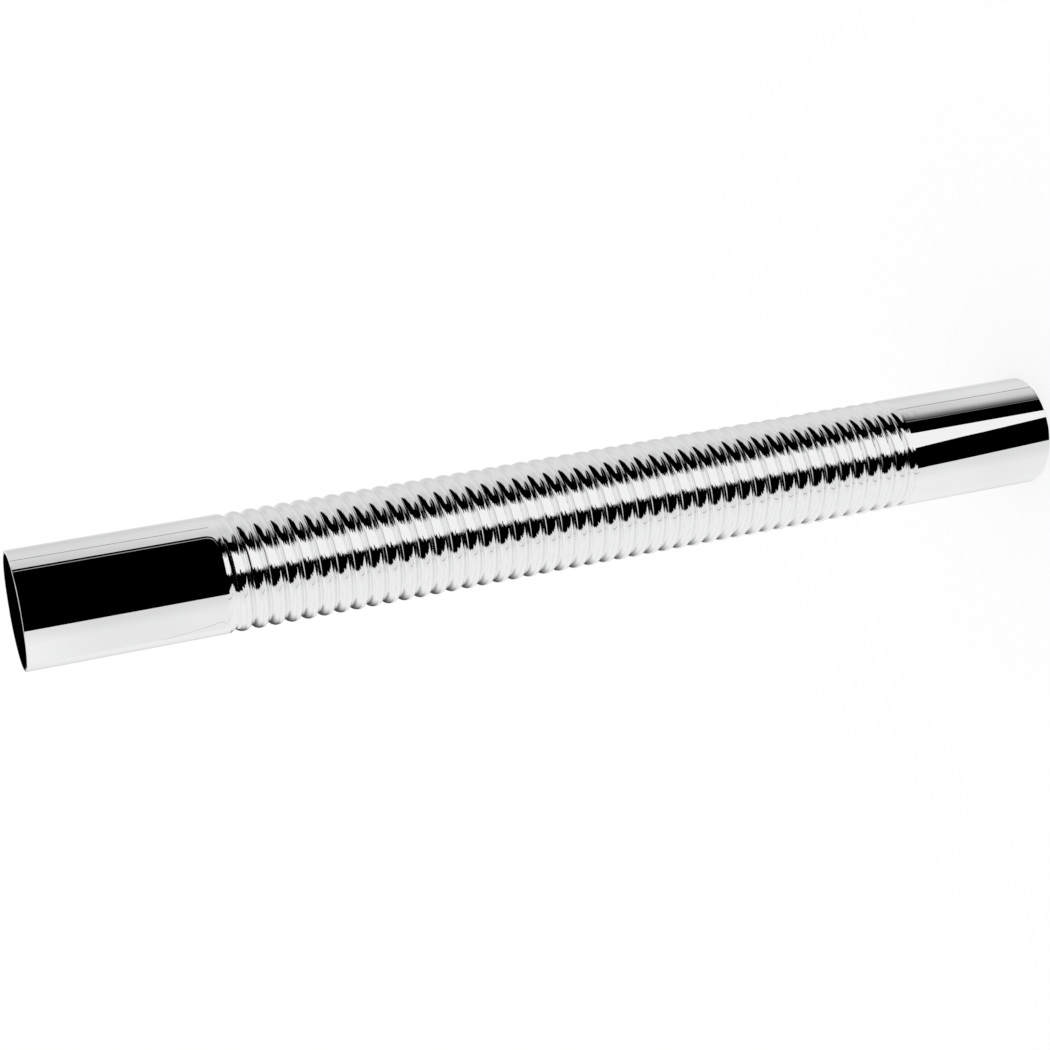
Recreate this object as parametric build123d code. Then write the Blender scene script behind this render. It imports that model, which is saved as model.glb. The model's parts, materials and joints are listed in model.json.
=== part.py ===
from build123d import *
import os
from math import cos, pi, sin, sqrt

# A flexible waste pipe: one thin brass tube with a plain cuff at each end and, between
# them, a single groove rolled round it as a right-hand screw, so that it can be bent by hand.
# The pipe stands on its cut end with its axis on +Z.

# Driving dimensions, in millimetres
overall_length = 303.0
tube_diameter = 32.0
wall = 0.7
top_cuff_length = 53.3
groove_turns = 45
groove_pitch = 4.57
groove_depth = 1.75
valley_radius = 0.6
crest_rise = 0.1
run_out_turns = 1.0
rim_break = 0.15

# How finely the grooved wall is drawn: points round one outline, and outlines per turn
points_round = 30
outlines_per_turn = 12

# What follows from them
cuff_radius = tube_diameter / 2
crest_radius = cuff_radius + crest_rise
half_pitch = groove_pitch / 2
crest_arc = (half_pitch ** 2 + groove_depth ** 2) / (2 * groove_depth) - valley_radius
groove_top = overall_length - top_cuff_length
groove_bottom = groove_top - groove_turns * groove_pitch
lower_ring = groove_bottom - half_pitch
upper_ring = groove_top + half_pitch


def groove_drop(offset, inset):
    """How far the wall lies below its crest, at an axial offset from the middle of the groove.

    The profile is two tangent arcs, a wide one over the crest and a tight one in the valley.
    The inner face of the wall lies an inset deeper, so its crest arc shrinks and its valley grows.
    """
    over_crest = crest_arc - inset
    in_valley = valley_radius + inset
    meet = half_pitch * in_valley / (over_crest + in_valley)
    if abs(offset) <= meet:
        return groove_depth - in_valley + sqrt(in_valley ** 2 - offset ** 2)
    return over_crest - sqrt(over_crest ** 2 - (half_pitch - abs(offset)) ** 2)


def groove_strength(turn):
    """The share of its full depth that the groove has, so many turns up from its lower end."""
    from_end = min(turn, groove_turns - turn, run_out_turns)
    return sin(pi / 2 * from_end / run_out_turns) if from_end > 0 else 0.0


def outline(height, inset):
    """One face of the wall, cut level: a closed curve, round but for the dent of the groove."""
    shares = [step / points_round for step in range(points_round + 1)]
    points = []
    for share in shares[:-1]:
        turns_up = (height - groove_bottom) / groove_pitch - share
        nearest = round(turns_up)
        drop = groove_drop((turns_up - nearest) * groove_pitch, inset)
        radius = crest_radius - inset - groove_strength(nearest + share) * drop
        points.append(Vector(radius * cos(2 * pi * share), radius * sin(2 * pi * share), height))
    return Wire([Edge.make_spline(points, periodic=True, parameters=shares)])


def grooved_wall():
    """Both faces of the wall between the cuffs, skinned over outlines that turn as they rise."""
    count = round((upper_ring - lower_ring) / groove_pitch * outlines_per_turn)
    step = (upper_ring - lower_ring) / count
    faces = []
    for inset in (0, wall):
        outlines = [outline(lower_ring + step * index, inset) for index in range(count + 1)]
        skin = Solid.make_loft(outlines, ruled=True)
        faces += [face for face in skin.faces() if face.geom_type != GeomType.PLANE]
    return faces


def cuff(end_height, ring_height):
    """A plain end: its two cylinders, the cut rim with broken edges, and the small step to the crests."""
    low, high = sorted((end_height, ring_height))
    base = Plane((0, 0, low))
    tube = Solid.make_cylinder(cuff_radius, high - low, base)
    tube = tube.cut(Solid.make_cylinder(cuff_radius - wall, high - low, base))
    rim = [edge for edge in tube.edges().filter_by(GeomType.CIRCLE)
           if abs(edge.center().Z - end_height) < rim_break]
    tube = tube.chamfer(rim_break, None, rim)
    faces = [face for face in tube.faces() if abs(face.center().Z - ring_height) > rim_break]
    for inset in (0, wall):
        circle = Wire.make_circle(cuff_radius - inset, Plane((0, 0, ring_height)))
        faces.append(Face(outline(ring_height, inset), [circle]))
    return faces


# The skins, cuffs and rims close into one thin-walled body
pipe_faces = cuff(0, lower_ring) + grooved_wall() + cuff(overall_length, upper_ring)
flexible_pipe = Solid(Shell(pipe_faces))

os.makedirs("parts", exist_ok=True)
export_step(flexible_pipe, "parts/flexible_pipe.step")
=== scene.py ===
import json
from math import asin, atan2, cos, hypot, pi, radians, sin, tau

import bmesh
import bpy
from mathutils import Matrix, Quaternion, Vector


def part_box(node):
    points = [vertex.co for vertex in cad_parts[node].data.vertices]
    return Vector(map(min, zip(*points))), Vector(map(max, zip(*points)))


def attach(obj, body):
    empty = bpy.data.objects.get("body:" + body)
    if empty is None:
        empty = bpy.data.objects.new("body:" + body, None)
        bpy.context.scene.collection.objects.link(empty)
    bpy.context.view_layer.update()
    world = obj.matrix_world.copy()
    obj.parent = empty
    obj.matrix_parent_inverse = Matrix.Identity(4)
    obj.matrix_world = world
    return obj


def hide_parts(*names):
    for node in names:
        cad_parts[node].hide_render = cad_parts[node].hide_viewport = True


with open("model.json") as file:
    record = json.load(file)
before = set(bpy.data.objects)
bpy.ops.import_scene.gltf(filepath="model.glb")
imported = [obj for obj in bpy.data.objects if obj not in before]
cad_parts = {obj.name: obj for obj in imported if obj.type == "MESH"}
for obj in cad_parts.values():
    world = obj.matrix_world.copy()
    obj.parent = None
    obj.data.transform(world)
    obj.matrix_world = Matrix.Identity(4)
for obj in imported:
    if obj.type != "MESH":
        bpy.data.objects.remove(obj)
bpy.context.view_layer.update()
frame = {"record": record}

# Flexible pipe. One thin brass tube, drawn plain and cut square at both ends. A roller then presses
# a single right-hand screw groove into the middle of it, which leaves a plain cuff at each end,
# and the whole tube is polished and chrome plated.
mm = 0.001
mounts = {mount["name"]: mount for mount in frame["record"]["mounts"]}
short_cuff = mounts["short_cuff"]
long_cuff = mounts["long_cuff"]
cuff_radius = long_cuff["dims"]["r_mm"] * mm
lower_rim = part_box("flexible_pipe")[0].z
upper_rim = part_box("flexible_pipe")[1].z
lower_ring = short_cuff["pos_m"][2] + short_cuff["dims"]["length_mm"] / 2 * mm
upper_ring = long_cuff["pos_m"][2] - long_cuff["dims"]["length_mm"] / 2 * mm

wall = 0.7 * mm
groove_turns = 45
groove_depth = 1.2 * mm
valley_radius = 0.42 * mm
crest_rise = 0.1 * mm
run_out_turns = 1.0
rise_turns = 5
rim_break = 0.15 * mm
rim_support = 0.25 * mm

groove_pitch = (upper_ring - lower_ring) / (groove_turns + 1)
half_pitch = groove_pitch / 2
groove_bottom = lower_ring + half_pitch
crest_radius = cuff_radius + crest_rise
crest_arc = (half_pitch ** 2 + groove_depth ** 2) / (2 * groove_depth) - valley_radius
flank = asin(half_pitch / (crest_arc + valley_radius))

steps_round = 72
valley_steps = 6
outer_crest_steps = 12
inner_crest_steps = 4
rim_steps = 2
turns_below = 2
turns_above = 1
merge_gap = 0.001 * mm
level_slack = 0.01 * mm

plate_colour = (0.87, 0.873, 0.876)
haze_colour = (0.42, 0.41, 0.4)
# The bore's brass and stain colours are far darker than bare brass, as painted shade for the unlit inside.
brass_colour_in_painted_shade = (0.2, 0.175, 0.135)
stain_colour_in_painted_shade = (0.1, 0.09, 0.075)
draw_line_depth = 0.0012 * mm
score_depth = 0.035 * mm
scale_depth = 0.01 * mm
scores_in_pitch = 9.0
scores_in_metre = 60.0


def groove_strength(turn):
    """The share of its full depth that the groove has, so many turns up from its lower end."""
    from_end = min(turn, groove_turns - turn, run_out_turns)
    return sin(pi / 2 * from_end / run_out_turns) if from_end > 0 else 0.0


def screw_turns(face, inset, crest_steps):
    """A valley arc and a crest arc, screwed once round the axis, and that turn repeated up the pipe.

    The turns go past both rings, where the cuffs' trims take the rest of them off.
    """
    across = (0, 1, 0)
    first_groove = groove_bottom - turns_below * groove_pitch
    valley_middle = Vector((crest_radius - groove_depth + valley_radius, 0, first_groove))
    crest_middle = Vector((crest_radius - crest_arc, 0, first_groove + half_pitch))
    foot = valley_middle - (valley_radius + inset) * Vector((cos(flank), 0, sin(flank)))
    start = bmesh.ops.create_vert(face, co=foot)["vert"]
    valley = bmesh.ops.spin(face, geom=start, cent=valley_middle, axis=across, angle=2 * flank,
                            steps=valley_steps, space=Matrix())
    bmesh.ops.spin(face, geom=valley["geom_last"], cent=crest_middle, axis=across, angle=-2 * flank,
                   steps=crest_steps, space=Matrix())
    bmesh.ops.spin(face, geom=face.verts[:] + face.edges[:], cent=(0, 0, 0), axis=(0, 0, 1), angle=tau,
                   steps=steps_round, dvec=(0, 0, groove_pitch / steps_round), space=Matrix())
    first_turn = face.verts[:] + face.edges[:] + face.faces[:]
    for turn in range(1, turns_below + groove_turns + turns_above):
        copy = bmesh.ops.duplicate(face, geom=first_turn)["geom"]
        copied = [item for item in copy if isinstance(item, bmesh.types.BMVert)]
        bmesh.ops.translate(face, verts=copied, vec=(0, 0, turn * groove_pitch))
    bmesh.ops.remove_doubles(face, verts=face.verts[:], dist=merge_gap)


def ease_ends(face, inset):
    """Lets the groove run out to nothing towards each cuff, and the crests down to the cuff's radius."""
    for vertex in face.verts:
        around = atan2(vertex.co.y, vertex.co.x) / tau % 1
        nearest = round((vertex.co.z - groove_bottom) / groove_pitch - around)
        from_ring = min(vertex.co.z - lower_ring, upper_ring - vertex.co.z)
        rise = crest_rise * min(max(from_ring / (rise_turns * groove_pitch), 0), 1)
        radius = hypot(vertex.co.x, vertex.co.y)
        drop = groove_strength(nearest + around) * (crest_radius - inset - radius)
        vertex.co.xy *= (cuff_radius + rise - inset - drop) / radius


def open_edge(body, height):
    """The edges that lie open at one height."""
    return [item for item in body.edges
            if item.is_boundary and abs(item.verts[0].co.z - height) < level_slack]


def add_cuff(face, ring, rim):
    """Trims the wall at a ring and draws its edge out straight to the rim."""
    away = 1 if rim > ring else -1
    everything = face.verts[:] + face.edges[:] + face.faces[:]
    bmesh.ops.bisect_plane(face, geom=everything, plane_co=(0, 0, ring), plane_no=(0, 0, away),
                           clear_outer=True)
    edge = open_edge(face, ring)
    for height in (ring + away * rim_support, rim - away * rim_support, rim):
        drawn = bmesh.ops.extrude_edge_only(face, edges=edge)["geom"]
        edge = [item for item in drawn if isinstance(item, bmesh.types.BMEdge)]
        for item in drawn:
            if isinstance(item, bmesh.types.BMVert):
                item.co.z = height


pipe = bmesh.new()
wall_faces = ((0, outer_crest_steps), (wall, inner_crest_steps))
for finish, (inset, crest_steps) in enumerate(wall_faces):
    face = bmesh.new()
    screw_turns(face, inset, crest_steps)
    ease_ends(face, inset)
    add_cuff(face, lower_ring, lower_rim)
    add_cuff(face, upper_ring, upper_rim)
    for part in face.faces:
        part.material_index = finish
    part_mesh = bpy.data.meshes.new("wall_face")
    face.to_mesh(part_mesh)
    face.free()
    pipe.from_mesh(part_mesh)
    bpy.data.meshes.remove(part_mesh)

for rim in (lower_rim, upper_rim):
    loops = open_edge(pipe, rim)
    bmesh.ops.bridge_loops(pipe, edges=loops)
    bmesh.ops.bevel(pipe, geom=loops, offset=rim_break, offset_type="OFFSET", affect="EDGES",
                    segments=rim_steps, profile=0.5, material=-1)
bmesh.ops.recalc_face_normals(pipe, faces=pipe.faces[:])
for part in pipe.faces:
    part.smooth = True
pipe_mesh = bpy.data.meshes.new("flexible_pipe_wall")
pipe.to_mesh(pipe_mesh)
pipe.free()
pipe_piece = bpy.data.objects.new("rolled_pipe", pipe_mesh)
bpy.context.scene.collection.objects.link(pipe_piece)


class Socket:
    """One output in a material. Arithmetic on it adds Math nodes, and put() adds any other node."""

    def __init__(self, tree, output=None):
        self.tree = tree
        self.output = output

    def put(self, kind, settings, values, output=0):
        """Adds a node with its settings, and then the values or links of its sockets."""
        node = self.tree.nodes.new(kind)
        for name, setting in settings.items():
            setattr(node, name, setting)
        for name, value in values.items():
            if isinstance(value, Socket):
                self.tree.links.new(value.output, node.inputs[name])
            else:
                node.inputs[name].default_value = value
        return Socket(self.tree, node.outputs[output])

    def math(self, operation, first, second=0.0):
        return self.put("ShaderNodeMath", {"operation": operation}, {0: first, 1: second})

    def __add__(self, other):
        return self.math("ADD", self, other)

    def __radd__(self, other):
        return self.math("ADD", other, self)

    def __sub__(self, other):
        return self.math("SUBTRACT", self, other)

    def __rsub__(self, other):
        return self.math("SUBTRACT", other, self)

    def __mul__(self, other):
        return self.math("MULTIPLY", self, other)

    def __rmul__(self, other):
        return self.math("MULTIPLY", other, self)

    def __truediv__(self, other):
        return self.math("DIVIDE", self, other)

    def larger(self, other):
        return self.math("MAXIMUM", self, other)

    def ease(self, low, high):
        """Goes smoothly from 0 at one value to 1 at another."""
        return self.put("ShaderNodeMapRange", {"interpolation_type": "SMOOTHSTEP"},
                        {"Value": self, "From Min": low, "From Max": high, "To Min": 0.0, "To Max": 1.0})

    def past(self, first, last):
        """Goes smoothly from 0 at one bearing to 1 at another, both in degrees."""
        return self.ease(radians(first), radians(last))

    def noise(self, stretch, detail):
        """Noise from 0 to 1, with so many waves in a metre along each axis."""
        waves = self.put("ShaderNodeMapping", {}, {"Vector": self, "Scale": stretch})
        return self.put("ShaderNodeTexNoise", {}, {"Vector": waves, "Scale": 1.0, "Detail": detail}, "Fac")

    def wander(self, waves):
        """Goes up and down about 0 without a rule, with so many waves to a step of 1."""
        wave = self.put("ShaderNodeTexNoise", {"noise_dimensions": "1D"},
                        {"W": self, "Scale": waves, "Detail": 2.0}, "Fac")
        return wave - 0.5

    def along(self, axis):
        return self.put("ShaderNodeSeparateXYZ", {}, {0: self}, axis)

    def from_axis(self):
        """The distance of a place from the pipe's axis."""
        flat = self.put("ShaderNodeVectorMath", {"operation": "MULTIPLY"}, {0: self, 1: (1, 1, 0)})
        return self.put("ShaderNodeVectorMath", {"operation": "LENGTH"}, {0: flat}, "Value")

    def tint(self, share, colour, other):
        """Goes from one colour to another as the share of the other grows."""
        return self.put("ShaderNodeMix", {"data_type": "RGBA"},
                        {"Factor": share, 6: (*colour, 1), 7: (*other, 1)}, 2)


def roller_marks(place):
    """The roller's fine scores, which follow the groove from turn to turn and leave the cuffs plain."""
    height = place.along("Z")
    around = place.math("ARCTAN2", place.along("Y"), place.along("X"))
    turn = (height - groove_bottom) * (1 / groove_pitch) - around * (1 / tau)
    across = place.math("FRACT", turn)
    mark = place.put("ShaderNodeCombineXYZ", {},
                     {"X": scores_in_pitch * across, "Y": scores_in_metre * height, "Z": 0.0})
    scores = place.put("ShaderNodeTexNoise", {}, {"Vector": mark, "Scale": 1.0, "Detail": 1.5}, "Fac")
    rolled = height.ease(lower_ring, lower_ring + groove_pitch)
    plain = height.ease(upper_ring - groove_pitch, upper_ring)
    return scores * rolled * (1 - plain)


def bright_chrome():
    """Mirror plate over polished brass: faint draw lines, roller marks, a thin haze and duller valleys."""
    material = bpy.data.materials.new("bright_chrome")
    material.use_nodes = True
    tree = material.node_tree
    shader = tree.nodes["Principled BSDF"]
    shader.inputs["Metallic"].default_value = 1
    place = Socket(tree).put("ShaderNodeTexCoord", {}, {}, "Object")
    sunk = cuff_radius - place.from_axis()
    full_sink = groove_depth - crest_rise
    valley = sunk.ease(0.84 * full_sink, 0.97 * full_sink)
    haze = place.noise((70, 70, 25), 3.0)
    draw_lines = place.noise((420, 420, 9), 2.0)
    colour = place.tint(0.05 * haze, plate_colour, haze_colour)
    roughness = 0.01 + 0.02 * haze + 0.08 * valley
    relief = draw_line_depth * draw_lines + score_depth * roller_marks(place)
    finish = place.put("ShaderNodeBump", {}, {"Height": relief, "Strength": 1.0, "Distance": 1.0})
    tree.links.new(colour.output, shader.inputs["Base Color"])
    tree.links.new(roughness.output, shader.inputs["Roughness"])
    tree.links.new(finish.output, shader.inputs["Normal"])
    return material


def bare_inside():
    """Dull brass that the plating bath hardly reached, stained in streaks along the bore, darkened as
    painted shade.
    """
    material = bpy.data.materials.new("bare_inside")
    material.use_nodes = True
    tree = material.node_tree
    shader = tree.nodes["Principled BSDF"]
    shader.inputs["Metallic"].default_value = 1
    place = Socket(tree).put("ShaderNodeTexCoord", {}, {}, "Object")
    streaks = place.noise((300, 300, 14), 4.0)
    colour = place.tint(streaks.ease(0.35, 0.7), brass_colour_in_painted_shade, stain_colour_in_painted_shade)
    roughness = 0.32 + 0.2 * streaks
    scale = place.noise((900, 900, 60), 3.0)
    finish = place.put("ShaderNodeBump", {}, {"Height": scale, "Distance": scale_depth})
    tree.links.new(colour.output, shader.inputs["Base Color"])
    tree.links.new(roughness.output, shader.inputs["Roughness"])
    tree.links.new(finish.output, shader.inputs["Normal"])
    return material


pipe_mesh.materials.append(bright_chrome())
pipe_mesh.materials.append(bare_inside())
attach(pipe_piece, "root")
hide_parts("flexible_pipe")

# Floor. A plain white table top under the pipe's cut end, wide enough to fill every view. To the
# camera it is partly its own white, so that the pipe's shadow on it stays faint.
floor_size = 20
own_white_share = 0.7
white = (1, 1, 1, 1)

floor_mesh = bpy.data.meshes.new("floor")
floor = bpy.data.objects.new("floor", floor_mesh)
sheet = bmesh.new()
bmesh.ops.create_grid(sheet, x_segments=1, y_segments=1, size=floor_size)
sheet.to_mesh(floor_mesh)
sheet.free()
bpy.context.scene.collection.objects.link(floor)
floor.visible_glossy = False
paper = bpy.data.materials.new("white_paper")
paper.use_nodes = True
paper_tree = paper.node_tree
paper_shader = paper_tree.nodes["Principled BSDF"]
paper_shader.inputs["Base Color"].default_value = white
paper_shader.inputs["Roughness"].default_value = 1
paper_shader.inputs["Specular IOR Level"].default_value = 0
plain_paper = Socket(paper_tree, paper_shader.outputs[0])
seen = plain_paper.put("ShaderNodeLightPath", {}, {}, "Is Camera Ray")
own_white = seen.put("ShaderNodeEmission", {}, {"Color": white, "Strength": 1.0})
lit_paper = seen.put("ShaderNodeMixShader", {}, {0: own_white_share * seen, 1: plain_paper, 2: own_white})
paper_tree.links.new(lit_paper.output, paper_tree.nodes["Material Output"].inputs["Surface"])
floor_mesh.materials.append(paper)

# Studio. A black tent stands round the pipe, with a white table on one side of it, a pool of light
# on its back wall, a tall strip light and a few small cards. They are seen only in the pipe's polish.
tent_size = 30
card_steps = 160
pipe_middle = (lower_rim + upper_rim) / 2
table_distance = 1.4
wall_distance = 2.3
strip_distance = 0.6
fold_distance = 1.25
line_distance = 0.3
beside = 19 * mm
layer = 0.1 * mm
tent_heights = (-9, 9)
strip_heights = (-3.5, 3.5)
near_top = upper_rim + 3 * mm
far_heights = (lower_rim - 5 * mm, 43.6 * mm)
fold_height = 0.03


def hang(name, sheet, finish):
    """Hangs a sheet in the studio where only the polish shows it."""
    mesh = bpy.data.meshes.new(name)
    sheet.to_mesh(mesh)
    sheet.free()
    mesh.materials.append(finish)
    piece = bpy.data.objects.new(name, mesh)
    bpy.context.scene.collection.objects.link(piece)
    for ray in ("visible_camera", "visible_diffuse", "visible_transmission", "visible_shadow"):
        setattr(piece, ray, False)


def glow(name, light):
    """A sheet's own even light, from 0 for black cloth to 1 for lit white paper."""
    finish = bpy.data.materials.new(name)
    finish.use_nodes = True
    shader = finish.node_tree.nodes["Principled BSDF"]
    shader.inputs["Base Color"].default_value = (0, 0, 0, 1)
    shader.inputs["Specular IOR Level"].default_value = 0
    shader.inputs["Emission Color"].default_value = (light, light, light, 1)
    shader.inputs["Emission Strength"].default_value = 1
    return finish


def shaded(name, shade):
    """A sheet whose light goes by the bearing from the front and the slope up from the pipe's middle."""
    finish = glow(name, 1.0)
    tree = finish.node_tree
    place = Socket(tree).put("ShaderNodeTexCoord", {}, {}, "Object")
    bearing = place.math("ARCTAN2", place.along("X"), -1 * place.along("Y"))
    slope = (place.along("Z") - pipe_middle) / place.from_axis()
    level = shade(bearing, slope)
    grey = place.put("ShaderNodeCombineColor", {}, {0: level, 1: level, 2: level})
    tree.links.new(grey.output, tree.nodes["Principled BSDF"].inputs["Emission Color"])
    return finish


def card(name, distance, bearings, heights, finish, lean=0, taper=0, corner=(0, 0)):
    """A card bent round the pipe's axis, between two bearings from the front, in degrees, and two heights.

    Its top is turned past its foot by the lean, and its right edge by the taper as well. Its lower right
    corner is rounded over so many degrees and so much height.
    """
    sheet = bmesh.new()
    width = bearings[1] - bearings[0]
    foot = bmesh.ops.create_vert(sheet, co=(0, -distance, heights[0]))["vert"]
    rise = bmesh.ops.extrude_vert_indiv(sheet, verts=foot)
    rise["verts"][0].co.z = heights[1]
    bmesh.ops.spin(sheet, geom=foot + rise["verts"] + rise["edges"], cent=(0, 0, 0), axis=(0, 0, 1),
                   angle=radians(width), steps=card_steps, space=Matrix())
    for vertex in sheet.verts:
        share = (vertex.co.z - heights[0]) / (heights[1] - heights[0])
        across = atan2(vertex.co.x, -vertex.co.y) / radians(width)
        turn = Matrix.Rotation(radians(bearings[0] + share * (lean + across * taper)), 3, "Z")
        vertex.co = turn @ vertex.co
        into_corner = max(1 - (1 - across) * width / corner[0], 0) if corner[0] else 0
        vertex.co.z += (1 - share) * corner[1] * (1 - max(1 - into_corner ** 2, 0) ** 0.5)
    hang(name, sheet, finish)


def high_up(slope):
    """The share of the light that fills the tent's top."""
    return slope.ease(1.5, 2.2)


def strip_side(bearing, slope):
    """1 on the strip's side of its right edge, which bows outwards above and below, and 0 past it."""
    return 1 - (bearing - 0.28 * slope * slope).past(31.5, 34.5)


def table_shade(bearing, slope):
    """White paper with a wavering front edge, greyer front and back, and a dark back corner that paints
    shade in the lobes' notches.
    """
    rising = slope.larger(0.0)
    edge = bearing + 0.36 * rising + 0.055 * slope.ease(-0.66, -0.56) + 0.35 * slope.wander(4.0)
    past_edge = edge.past(-33, -30) * (1 - high_up(slope))
    back = 1 - bearing.past(-180, -138)
    front = bearing.past(-75, -42)
    # The dark patch low at the back is painted shade: in the polish it darkens the notches between the
    # lobes along the outline.
    corner = slope.ease(-0.3, -0.1) - slope.ease(0.5, 0.7)
    notch_shade_patch = corner * (1 - bearing.past(-162, -120))
    paper_light = (0.97 - 0.3 * back - 0.13 * front) * (1 - 0.9 * notch_shade_patch)
    return paper_light * (1 + 0.3 * slope.wander(6.0)) * (1 - past_edge)


def near_shade(bearing, slope):
    """The white table beside the long cuff, greyer towards its back."""
    return 0.97 - 0.42 * (1 - bearing.past(-128, -84))


def wall_shade(bearing, slope):
    """A pool of light whose edge leans away above and below, and is straight behind the short cuff.

    The tent's top and foot are light all round, and the strip's own light spreads on to the wall there.
    """
    rising = slope.larger(0.0)
    falling = (-1 * slope).larger(0.0)
    leaning = bearing - 1.25 * rising - 0.9 * falling - 0.35 * slope.wander(5.0)
    top_and_foot = slope.math("ABSOLUTE", slope).ease(1.4, 2.0)
    lit = leaning.past(47, 59).larger(top_and_foot).larger(strip_side(bearing, slope))
    straight = bearing.past(60, 84)
    behind_cuff = slope.ease(-0.74, -0.72) - slope.ease(-0.615, -0.6)
    pool = lit + behind_cuff * (straight - lit)
    dip = bearing.past(122, 146) - bearing.past(148, 166)
    wall_light = 0.7 + 0.13 * bearing.past(82, 110) - 0.09 * dip
    return pool * wall_light * (1 + 0.25 * slope.wander(7.0))


def strip_shade(bearing, slope):
    """Lit white paper between two wavering edges, with a greyer fold across it high up."""
    left = (bearing + 0.6 * slope.wander(4.0)).past(-4, -1).larger(high_up(slope))
    right = strip_side(bearing - 0.7 * (slope + 5.0).wander(4.0), slope)
    fold = slope.ease(1.0, 1.4) - slope.ease(2.0, 2.6)
    return (1.02 - 0.35 * fold) * left * right


black_cloth = glow("black_cloth", 0.0)
tent = bmesh.new()
bmesh.ops.create_cube(tent, size=tent_size)
hang("black_tent", tent, black_cloth)
card("white_table", table_distance, (-180, -4), tent_heights, shaded("table_paper", table_shade))
card("back_wall", wall_distance, (46, 180), tent_heights, shaded("grey_wall", wall_shade))
card("strip_light", strip_distance, (-14, 57), strip_heights, shaded("strip_paper", strip_shade))
card("table_line", line_distance, (-52, -49.8), (-0.11, 0.19), glow("table_line", 0.45))
# Beside the long cuff, near the camera, and then beside the short one, far from it.
card("near_frame", beside + 2 * layer, (-23.8, 48.8), (248.3 * mm, near_top), black_cloth,
     corner=(24, 4.6 * mm))
card("near_line", beside + layer, (-23, 45.8), (249.3 * mm, near_top), glow("near_line", 0.4),
     corner=(21, 3 * mm))
card("near_flag", beside, (-23.8, 44.7), (249.3 * mm, near_top), black_cloth, corner=(20, 3.4 * mm))
card("near_seam", beside, (62.3, 63.5), (250.7 * mm, near_top), glow("near_seam", 0.3), lean=1)
card("near_table", beside, (-123, -77), (247.5 * mm, near_top), shaded("near_paper", near_shade))
card("far_seam", beside, (58.3, 59.5), far_heights, glow("far_seam", 0.3), lean=0.5)
card("far_flag", beside, (-18.6, 10.8), far_heights, black_cloth, lean=-6.6, taper=-3.4)
card("far_frame", beside, (19.2, 37.5), far_heights, black_cloth)
card("far_line", beside - layer, (35, 36.2), far_heights, glow("far_line", 0.2))
# A fold in the table's paper, which turns a corner at its middle.
card("fold_upper", fold_distance, (-103, -101.5), (fold_height, 0.1), glow("fold_upper", 0.6), lean=-29)
card("fold_lower", fold_distance, (-58.5, -56.5), (-0.6, fold_height), glow("fold_lower", 0.6), lean=-45)

# World and camera. Even white light from all round, and the photograph's own viewpoint, rolled on
# its side because the pipe stands on its end.
camera_place = Vector((0, -0.5589, 0.3512))
camera_aim = Vector((-0.0016, 0, 0.1618))
camera_roll = radians(-100.28)
camera_lens = 72.3
camera_sensor = 36
nearest_seen = 0.01
farthest_seen = 100

world = bpy.data.worlds.new("white_studio")
world.use_nodes = True
world.node_tree.nodes["Background"].inputs["Color"].default_value = white
world.node_tree.nodes["Background"].inputs["Strength"].default_value = 1
bpy.context.scene.world = world
camera = bpy.data.objects.new("camera", bpy.data.cameras.new("camera"))
bpy.context.scene.collection.objects.link(camera)
camera.data.sensor_width = camera_sensor
camera.data.lens = camera_lens
camera.data.clip_start = nearest_seen
camera.data.clip_end = farthest_seen
camera.rotation_mode = "QUATERNION"
camera.location = camera_place
look = (camera_aim - camera_place).to_track_quat("-Z", "Y")
camera.rotation_quaternion = look @ Quaternion((0, 0, 1), camera_roll)
bpy.context.scene.camera = camera
bpy.context.scene.view_settings.view_transform = "Standard"
